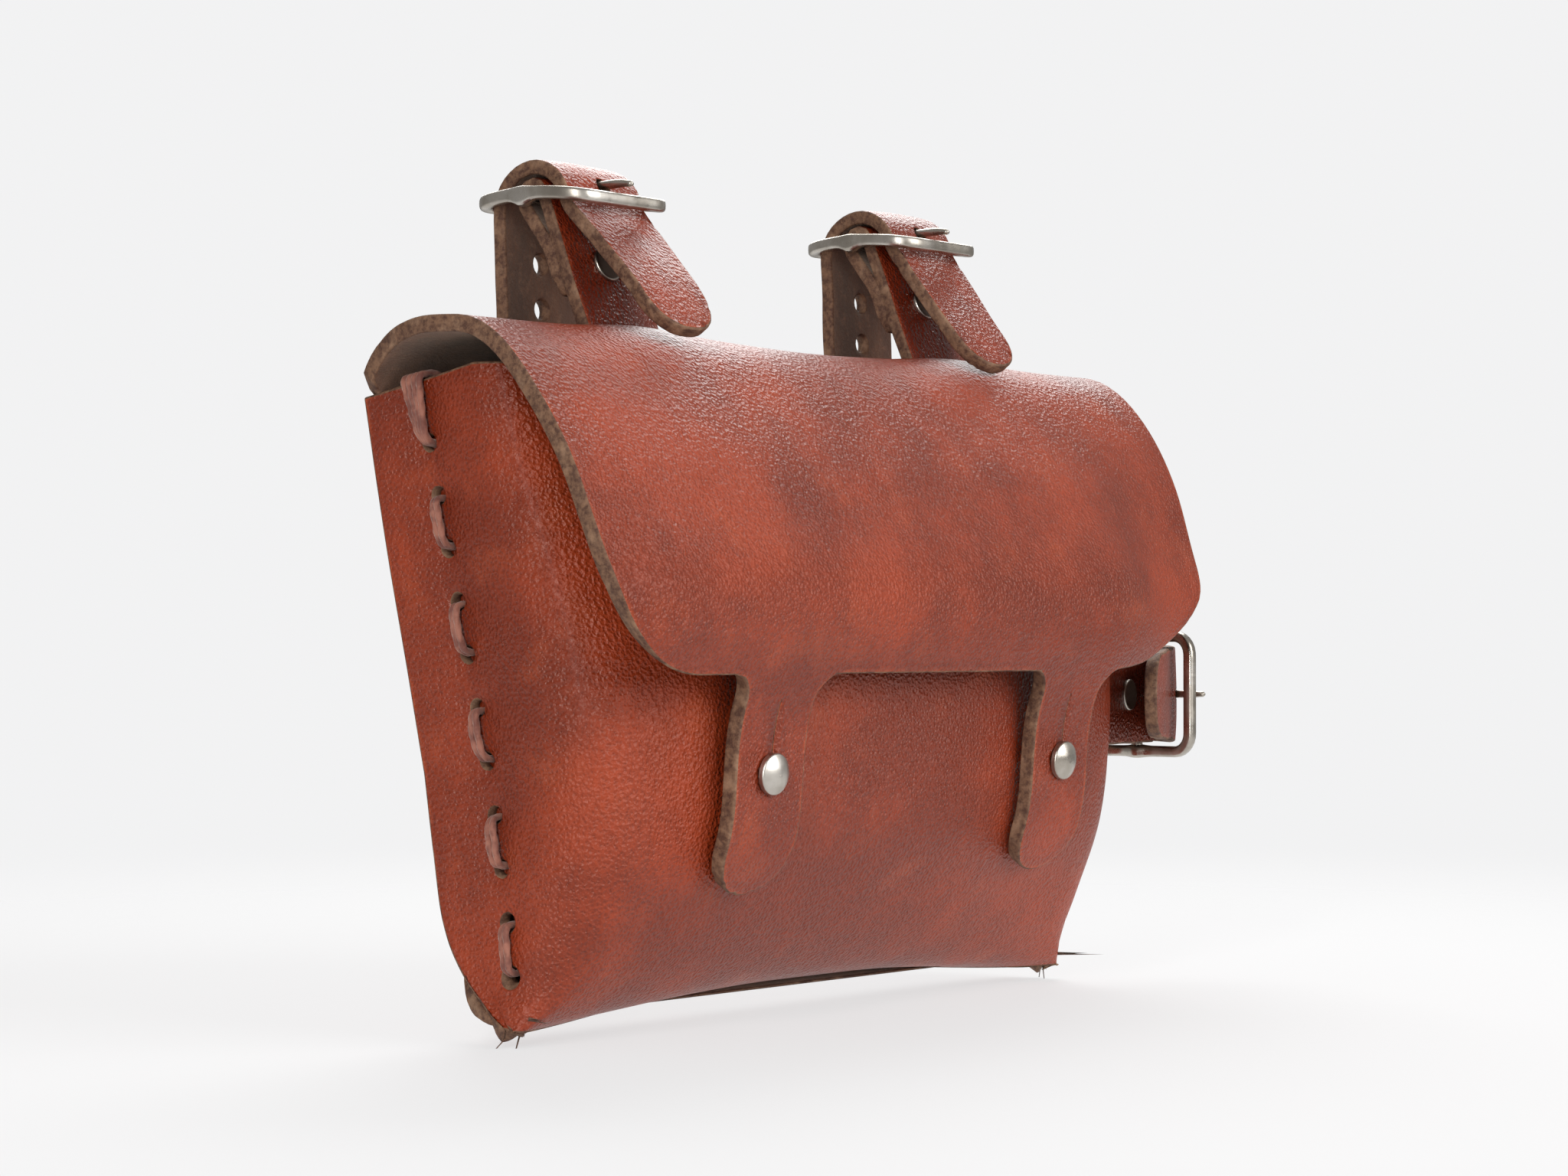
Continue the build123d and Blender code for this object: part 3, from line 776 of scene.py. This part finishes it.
def make_frame(name, material):
    """A cast buckle frame: a rounded ring that swells at its centre bar."""
    front, back, half, rail, rise = -15.7, 13.6, 14.3, 2.5, 0.6
    rows = []
    middle, reach = (front + back) / 2, (back - front) / 2 - rail / 2
    side, corner = half - rail / 2, 4.2
    path = []
    for cu, cv, start in ((1, 1, 0), (-1, 1, 90), (-1, -1, 180), (1, -1, 270)):
        for a in np.radians(np.linspace(start, start + 90, 9)):
            path.append((middle + cu * (reach - corner) + corner * math.cos(a),
                         cv * (side - corner) + corner * math.sin(a)))
    path.append(path[0])
    ring = resample(np.array(path), 1.0)[:-1]
    steps = np.roll(ring, -1, 0) - np.roll(ring, 1, 0)
    for (u, v), t in zip(ring, steps):
        t = t / np.linalg.norm(t)
        n = (t[1], -t[0])
        swell = math.exp(-(u / 2.1) ** 2) if abs(v) > side - 1 else 0.0
        wide, thick = rail / 2 + 0.35 * swell, 1.3 + 0.75 * swell
        row = []
        for a in np.linspace(0, 2 * math.pi, 20, endpoint=False):
            c, s = math.cos(a), math.sin(a)
            across = wide * math.copysign(abs(c) ** 0.62, c)
            up = thick * math.copysign(abs(s) ** 0.62, s)
            sag = 1.5 * ((u - middle) / 14.6) ** 2
            row.append(strap_point(name, u + n[0] * across, rise * (1 - swell) + 0.1 * swell + up - sag,
                                   v + n[1] * across))
        rows.append(row)
    rows.append(rows[0])
    body = grid_mesh("ring", rows, closed=True)
    body.data.materials.append(material)
    axis = Vector((0, 0, 1)) if name == "side" else Vector((1, 0, 0))
    bar = lathe("bar", [(0, -13.4), (1.25, -13.4), (1.45, -12.2), (1.2, -10.9), (1.16, 0), (1.2, 10.9),
                        (1.45, 12.2), (1.25, 13.4), (0, 13.4)],
                axis_matrix(place(*strap_point(name, 0, 0, 0)), axis, Vector((0, 1, 0))), material, 24)
    both = join([body, bar], f"{name}_buckle_cast")
    bm = bmesh.new()
    bm.from_mesh(both.data)
    bmesh.ops.remove_doubles(bm, verts=bm.verts, dist=1e-6)
    bmesh.ops.recalc_face_normals(bm, faces=bm.faces)
    bm.to_mesh(both.data)
    bm.free()
    both.data.shade_smooth()
    return both


def make_prong(name, material):
    """A wire prong: bent once round the centre bar, and drooping a little over the front rail."""
    turn = [(2.12 * math.cos(a), 2.12 * math.sin(a)) for a in np.radians(np.linspace(-210, 88, 26))]
    line = turn + [(-2.4, 2.28), (-6.0, 2.55), (-10.0, 2.75), (-13.6, 2.82), (-15.6, 2.62), (-16.4, 2.4)]
    shift = np.concatenate([np.linspace(0.55, 0, 26), np.zeros(6)])
    points = smooth_path([strap_point(name, u, w, s) for (u, w), s in zip(line, shift)], 0.5)
    left = np.arange(len(points))[::-1] * 0.5
    radii = 0.62 + 0.28 * ease(left / 5)
    radii[-1] = 0.35
    return tube(f"{name}_prong_wire", points, radii, material, 16)


# -------- materials

class Nodes:
    """A small helper for building a material's node tree."""

    def __init__(self, name):
        self.material = bpy.data.materials.new(name)
        self.material.use_nodes = True
        self.tree = self.material.node_tree
        self.shader = self.tree.nodes["Principled BSDF"]
        self.coord = self.tree.nodes.new("ShaderNodeTexCoord").outputs["Object"]

    def node(self, kind, inputs=None, **settings):
        made = self.tree.nodes.new("ShaderNode" + kind)
        for key, value in settings.items():
            setattr(made, key, value)
        for key, value in (inputs or {}).items():
            self.put(made.inputs[key], value)
        return made

    def put(self, socket, value):
        if isinstance(value, bpy.types.NodeSocket):
            self.tree.links.new(value, socket)
        else:
            socket.default_value = value

    def noise(self, scale, detail=4.0, roughness=0.5, stretch=None):
        vector = self.coord
        if stretch:
            vector = self.node("Mapping", {"Vector": self.coord, "Scale": stretch[0],
                                           "Rotation": stretch[1]}).outputs[0]
        return self.node("TexNoise", {"Vector": vector, "Scale": scale, "Detail": detail,
                                      "Roughness": roughness}).outputs["Fac"]

    def cells(self, scale, feature="F1", warp=0.0):
        vector = self.coord
        if warp:
            bend = self.node("TexNoise", {"Vector": self.coord, "Scale": scale * 0.6,
                                          "Detail": 2.0}).outputs["Color"]
            vector = self.node("MixRGB", {"Fac": warp, "Color1": self.coord, "Color2": bend},
                               blend_type="LINEAR_LIGHT").outputs[0]
        return self.node("TexVoronoi", {"Vector": vector, "Scale": scale},
                         feature=feature).outputs["Distance"]

    def fit(self, value, low, high, out_low=0.0, out_high=1.0):
        return self.node("MapRange", {"Value": value, "From Min": low, "From Max": high,
                                      "To Min": out_low, "To Max": out_high},
                         interpolation_type="SMOOTHSTEP").outputs[0]

    def mix(self, fac, a, b, kind="MIX"):
        return self.node("MixRGB", {"Fac": fac, "Color1": a, "Color2": b}, blend_type=kind).outputs[0]

    def math(self, operation, a, b=0.0):
        made = self.tree.nodes.new("ShaderNodeMath")
        made.operation = operation
        self.put(made.inputs[0], a)
        self.put(made.inputs[1], b)
        return made.outputs[0]

    def bump(self, height, strength, distance, under=None):
        inputs = {"Height": height, "Strength": strength, "Distance": distance}
        if under is not None:
            inputs["Normal"] = under
        return self.node("Bump", inputs).outputs[0]

    def set(self, **values):
        for key, value in values.items():
            self.put(self.shader.inputs[key.replace("_", " ")], value)
        return self.material


def rgb(code, gain=1.0):
    """Linear colour from a six-digit code."""
    parts = [int(code[i:i + 2], 16) / 255 for i in (0, 2, 4)]
    return (*[gain * (p / 12.92 if p <= 0.04045 else ((p + 0.055) / 1.055) ** 2.4) for p in parts], 1.0)


def grain_leather(name, main, dark, light, gloss=0.37):
    """Vegetable-tanned grain side: fine pebbling, cloudy dye, scuffs, and burnished edges."""
    n = Nodes(name)
    rim = n.node("Attribute", attribute_name="rim_mm").outputs["Fac"]
    cloud, blotch = n.noise(22, 5, 0.6), n.noise(70, 3, 0.6)
    colour = n.mix(n.fit(cloud, 0.38, 0.66), dark, main)
    colour = n.mix(n.fit(blotch, 0.52, 0.78, 0, 0.4), colour, light)
    pores = n.cells(1250, warp=0.0005)
    colour = n.mix(n.fit(pores, 0.12, 0.5, 0.24, 0.0), colour, dark, "MULTIPLY")
    scratch_a = n.noise(60, 2, 0.5, ((1.0, 0.05, 1.6), (0.4, 0.3, 0.5)))
    scratch_b = n.noise(95, 2, 0.5, ((1.3, 0.9, 0.06), (0.2, -0.6, 0.9)))
    scuff = n.math("MAXIMUM", n.fit(n.math("ABSOLUTE", n.math("SUBTRACT", scratch_a, 0.5)), 0.0035, 0.0, 0,
                                    1),
                   n.fit(n.math("ABSOLUTE", n.math("SUBTRACT", scratch_b, 0.47)), 0.003, 0.0, 0, 1))
    scuff = n.math("MULTIPLY", scuff, n.fit(n.noise(26, 3), 0.5, 0.66))
    colour = n.mix(n.math("MULTIPLY", scuff, 0.3), colour, light)
    worn = n.math("MULTIPLY", n.fit(rim, 1.6, 0.2), n.fit(n.noise(160, 4), 0.42, 0.62, 0.15, 0.75))
    colour = n.mix(n.fit(rim, 4.5, 1.0, 0, 0.38), colour, dark)
    colour = n.mix(worn, colour, light)
    normal = n.bump(n.noise(30, 2, 0.5), 0.12, 0.0012)
    normal = n.bump(n.noise(420, 3, 0.6), 0.05, 0.0003, normal)
    normal = n.bump(n.math("ADD", pores, n.math("MULTIPLY", n.noise(2300, 2), 0.4)), 0.75, 0.0005, normal)
    normal = n.bump(n.math("MULTIPLY", scuff, -1.0), 0.35, 0.0002, normal)
    rough = n.math("ADD", n.fit(cloud, 0.3, 0.7, gloss - 0.06, gloss + 0.07),
                   n.math("MULTIPLY", n.fit(pores, 0.3, 0.0), 0.1))
    return n.set(Base_Color=colour, Roughness=rough, Normal=normal, Specular_IOR_Level=0.42,
                 Specular_Tint=(1.0, 0.88, 0.8, 1.0), Sheen_Weight=0.0,
                 Sheen_Roughness=0.4, Sheen_Tint=(0.74, 0.68, 0.8, 1.0), Coat_Weight=0.04,
                 Coat_Roughness=0.25)


def flesh_leather(name, main, dark, light):
    """Rough flesh side: matted fibres and streaks."""
    n = Nodes(name)
    streak = n.noise(90, 5, 0.7, ((1.0, 1.0, 0.25), (0.0, 0.0, 0.2)))
    colour = n.mix(n.fit(streak, 0.36, 0.66), dark, main)
    colour = n.mix(n.fit(n.noise(520, 4, 0.7), 0.5, 0.75, 0, 0.55), colour, light)
    normal = n.bump(n.noise(300, 6, 0.75), 0.6, 0.0008)
    normal = n.bump(n.noise(1500, 3, 0.7), 0.5, 0.0003, normal)
    return n.set(Base_Color=colour, Roughness=0.88, Normal=normal, Specular_IOR_Level=0.25, Sheen_Weight=0.35,
                 Sheen_Roughness=0.6, Sheen_Tint=(0.9, 0.75, 0.62, 1.0))


def cut_edge(name, main, dark, light):
    """The cut edge: packed fibre layers, darker dye soaked in from both faces."""
    n = Nodes(name)
    fibre = n.noise(700, 5, 0.75, ((0.35, 1.0, 1.0), (0.0, 0.3, 0.0)))
    colour = n.mix(n.fit(fibre, 0.36, 0.64), dark, main)
    colour = n.mix(n.fit(n.noise(240, 4, 0.6), 0.48, 0.72, 0, 0.6), colour, light)
    normal = n.bump(fibre, 0.6, 0.0005)
    normal = n.bump(n.noise(1800, 3, 0.7), 0.4, 0.0002, normal)
    return n.set(Base_Color=colour, Roughness=0.72, Normal=normal, Specular_IOR_Level=0.35)


def waxed_thread(name, main, dark):
    """Plied waxed cord with fine fibres."""
    n = Nodes(name)
    colour = n.mix(n.fit(n.noise(340, 4, 0.6), 0.35, 0.65), dark, main)
    normal = n.bump(n.noise(2600, 4, 0.7), 0.6, 0.00018)
    return n.set(Base_Color=colour, Roughness=0.62, Normal=normal, Specular_IOR_Level=0.4, Sheen_Weight=0.4,
                 Sheen_Roughness=0.5, Sheen_Tint=(0.85, 0.72, 0.66, 1.0))


def satin_metal(name, main, dark, rough=0.3):
    """Satin nickel: faint handling marks, small pits, and a duller tone in patches."""
    n = Nodes(name)
    colour = n.mix(n.fit(n.noise(120, 4, 0.6), 0.35, 0.68), dark, main)
    marks = n.noise(900, 3, 0.6, ((0.2, 1.0, 1.0), (0.3, 0.2, 0.6)))
    finish = n.math("ADD", n.fit(n.noise(210, 4), 0.3, 0.7, rough - 0.07, rough + 0.1),
                    n.fit(marks, 0.55, 0.7, 0, 0.08))
    normal = n.bump(n.noise(420, 3, 0.5), 0.14, 0.0003)
    normal = n.bump(marks, 0.1, 0.00008, normal)
    return n.set(Base_Color=colour, Metallic=1.0, Roughness=finish, Normal=normal)


# -------- assembly

hide_skin = grain_leather("body_leather", rgb("943617"), rgb("73260e"), rgb("a64724"))
strap_skin = grain_leather("strap_leather", rgb("903419"), rgb("6b2310"), rgb("a24727"), 0.33)
flesh = flesh_leather("flesh_side", rgb("64402c"), rgb("472c20"), rgb("866048"))
edge = cut_edge("cut_edge", rgb("785842"), rgb("4b3024"), rgb("9d7c62"))
cord = waxed_thread("waxed_thread", rgb("97604e"), rgb("6b3b30"))
nickel = satin_metal("satin_nickel", rgb("c9c4bc"), rgb("a8a196"))
steel = satin_metal("post_metal", rgb("b9b2a6"), rgb("8d867b"), 0.36)

for node_name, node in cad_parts.items():
    slot_metal = steel if node_name.endswith(("post", "screw_left", "screw_right")) else nickel
    if not any(word in node_name for word in ("hide", "flap", "thread", "strap")):
        node.data.materials.clear()
        node.data.materials.append(slot_metal)

front = make_front((hide_skin, flesh, edge))
cut(front, sewing_cutters(edge))
front.data.shade_smooth()
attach(front, "bag")
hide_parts("body_hide")


def tongue_cutters():
    """Keyhole punches: a round hole for the stud's neck with a slit above it."""
    out = Vector((0, -math.cos(LEAN), -math.sin(LEAN)))
    cutters = []
    for side in (-1, 1):
        centre = place(side * STUD_X, *front_at(FACE, 0.0))
        cutters.append(lathe("punch", [(0, -9), (3.0, -9), (3.0, -1.3), (2.6, -0.6), (2.6, 0.6), (3.0, 1.4),
                                       (3.0, 9), (0, 9)],
                             axis_matrix(centre, out), edge, 24))
        slit = [(-0.16, 0), (0.16, 0), (0.1, 14.2), (-0.1, 14.2)]
        up = Vector((0, -math.sin(LEAN), math.cos(LEAN)))
        bm = bmesh.new()
        layers = [[bm.verts.new(centre + (Vector((a, 0, 0)) + up * b + out * d) * MM) for a, b in slit]
                  for d in (-9, 9)]
        bm.faces.new(layers[0])
        bm.faces.new(layers[1][::-1])
        for i in range(4):
            bm.faces.new((layers[0][i], layers[0][i - 1], layers[1][i - 1], layers[1][i]))
        bmesh.ops.recalc_face_normals(bm, faces=bm.faces)
        mesh = bpy.data.meshes.new("slit")
        bm.to_mesh(mesh)
        bm.free()
        mesh.materials.append(edge)
        cutters.append(new_object("slit", mesh))
    return cutters


def slot_cutters():
    """Slots in the hide for the strap's two legs, a little larger than the strap."""
    cutters = []
    for name in ("left", "right"):
        _, low, back, _ = STRAPS[name]
        route = Route(name)
        for point, direction in ((np.array(low), -route.down), (np.array(back), route.leg)):
            t = np.array(direction) / np.linalg.norm(direction)
            n = np.array((t[1], -t[0]))
            corners = []
            for ahead in (-5.0, 16.0):
                for off in (-(STRAP / 2 + 0.45), STRAP / 2 + 0.45):
                    for v in (-(STRAP_WIDTH / 2 + 0.7), STRAP_WIDTH / 2 + 0.7):
                        q = point + t * ahead + n * off
                        corners.append(place(*strap_point(name, q[0], q[1], v)))
            bm = bmesh.new()
            vs = [bm.verts.new(c) for c in corners]
            for quad in ((0, 1, 3, 2), (4, 6, 7, 5), (0, 4, 5, 1), (2, 3, 7, 6), (0, 2, 6, 4), (1, 5, 7, 3)):
                bm.faces.new([vs[k] for k in quad])
            bmesh.ops.recalc_face_normals(bm, faces=bm.faces)
            mesh = bpy.data.meshes.new("slot")
            bm.to_mesh(mesh)
            bm.free()
            mesh.materials.append(edge)
            cutters.append(new_object("slot", mesh))
    return cutters


cover = make_flap((hide_skin, flesh, edge))
cut(cover, tongue_cutters() + slot_cutters())
cover.data.shade_smooth()


def take_wings(obj):
    """Separates the folded-in wings from the back, so that only the cover bends."""
    backs = HIDE_LINE[:int(S_MOUTH / 0.5)]

    def in_wing(c):
        y, z = (c.y - DATUM.y) / MM, (c.z - DATUM.z) / MM
        x = abs(c.x - DATUM.x) / MM
        back = float(np.interp(z, backs[:, 1], backs[:, 0]))
        return x > 78 and y < back - 6 and -37 < z < 71.5 and y > 18

    wings = obj.data.copy()
    for mesh, keep in ((obj.data, False), (wings, True)):
        bm = bmesh.new()
        bm.from_mesh(mesh)
        drop = [f for f in bm.faces if in_wing(f.calc_center_median()) != keep]
        bmesh.ops.delete(bm, geom=drop, context="FACES")
        bm.to_mesh(mesh)
        bm.free()
    return new_object("hide_wings", wings)


wings = take_wings(cover)
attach(wings, "bag")
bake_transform(cover)
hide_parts("flap")

for side, word in ((-1, "left"), (1, "right")):
    lacing = make_thread(side, cord)
    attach(lacing, "bag")
    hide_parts(f"stitch_thread_{word}")

for name in STRAPS:
    held, tip = make_strap(name, (strap_skin, flesh, edge))
    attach(held, "bag")
    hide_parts(f"{name}_strap")
    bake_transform(tip)
    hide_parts(f"{name}_strap_tip")
    casting = make_frame(name, nickel)
    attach(casting, f"{name}_frame")
    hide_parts(f"{name}_buckle_frame")
    wire = make_prong(name, nickel)
    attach(wire, f"{name}_prong")
    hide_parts(f"{name}_prong")


# -------- studio

def soft_light(name, at, aim, power, width, height, colour=(1, 1, 1)):
    lamp = bpy.data.lights.new(name, "AREA")
    lamp.shape, lamp.size, lamp.size_y, lamp.energy, lamp.color = "RECTANGLE", width, height, power, colour
    obj = bpy.data.objects.new(name, lamp)
    bpy.context.scene.collection.objects.link(obj)
    obj.location = at
    obj.rotation_euler = (Vector(aim) - Vector(at)).to_track_quat("-Z", "Y").to_euler()
    return obj


def disc(name, radii, height=0.0):
    """A flat disc in rings."""
    bm = bmesh.new()
    rings = [[bm.verts.new((r * math.cos(a), r * math.sin(a), height))
              for a in np.linspace(0, 2 * math.pi, 64, endpoint=False)]
             for r in radii]
    bm.faces.new(rings[0])
    for low, high in zip(rings, rings[1:]):
        for i in range(64):
            bm.faces.new((low[i], high[i], high[(i + 1) % 64], low[(i + 1) % 64]))
    mesh = bpy.data.meshes.new(name)
    bm.to_mesh(mesh)
    bm.free()
    return new_object(name, mesh)


def pale_floor():
    """A pale floor that fades out into the backdrop."""
    obj = disc("floor", (0.25, 0.5, 1.0, 2.0))
    n = Nodes("floor_paper")
    reach = n.node("VectorMath", {0: n.coord}, operation="LENGTH").outputs["Value"]
    n.set(Base_Color=FLOOR_TONE, Roughness=0.9, Specular_IOR_Level=0.1, Emission_Color=BACKDROP,
          Emission_Strength=0.68)
    clear = n.node("BsdfTransparent")
    blend = n.node("MixShader", {0: n.fit(reach, 0.16, 0.62), 1: n.shader.outputs[0], 2: clear.outputs[0]})
    n.tree.links.new(blend.outputs[0], n.tree.nodes["Material Output"].inputs["Surface"])
    obj.data.materials.append(n.material)
    return obj


def backdrop():
    """A pale shell round the set that only the camera sees."""
    bm = bmesh.new()
    bmesh.ops.create_icosphere(bm, subdivisions=4, radius=14)
    mesh = bpy.data.meshes.new("backdrop")
    bm.to_mesh(mesh)
    bm.free()
    obj = new_object("backdrop", mesh)
    n = Nodes("backdrop_paper")
    glow = n.node("Emission", {"Color": BACKDROP, "Strength": 1.0})
    n.tree.links.new(glow.outputs[0], n.tree.nodes["Material Output"].inputs["Surface"])
    mesh.materials.append(n.material)
    obj.visible_diffuse = obj.visible_glossy = obj.visible_transmission = obj.visible_shadow = False
    return obj


BACKDROP, FLOOR_TONE = (0.888, 0.888, 0.893, 1.0), (0.25, 0.25, 0.25, 1.0)
pale_floor()
backdrop()
world = bpy.data.worlds.new("studio")
world.use_nodes = True
world.node_tree.nodes["Background"].inputs[0].default_value = (1.0, 0.97, 0.95, 1.0)
world.node_tree.nodes["Background"].inputs[1].default_value = 0.34
bpy.context.scene.world = world
bpy.context.scene.view_settings.view_transform = "Standard"

AIM = place(0, 25, 35)
soft_light("key_top_back_right", place(620, 520, 760), AIM, 10.5, 0.8, 0.8)
soft_light("front_fill", place(250, -900, 420), AIM, 8.5, 0.9, 0.7)
soft_light("ridge_strip", place(-830, -340, 280), AIM, 5.6, 0.09, 0.8)

camera_data = bpy.data.cameras.new("camera")
camera = bpy.data.objects.new("camera", camera_data)
bpy.context.scene.collection.objects.link(camera)
CAMERA_AT = (-581.6, -416.8, 25.6)
azimuth, pitch = math.radians(52.0), math.radians(0.8)
FOCAL_PIXELS, FRAME_PIXELS, SENSOR = 4713.0, 2048.0, 36.0
look = Vector((math.sin(azimuth) * math.cos(pitch), math.cos(azimuth) * math.cos(pitch), math.sin(pitch)))
camera.location = place(*CAMERA_AT)
camera.rotation_euler = look.to_track_quat("-Z", "Y").to_euler()
camera_data.sensor_width = SENSOR
camera_data.lens = FOCAL_PIXELS / FRAME_PIXELS * SENSOR
camera_data.clip_start, camera_data.clip_end = 0.01, 60.0
bpy.context.scene.camera = camera
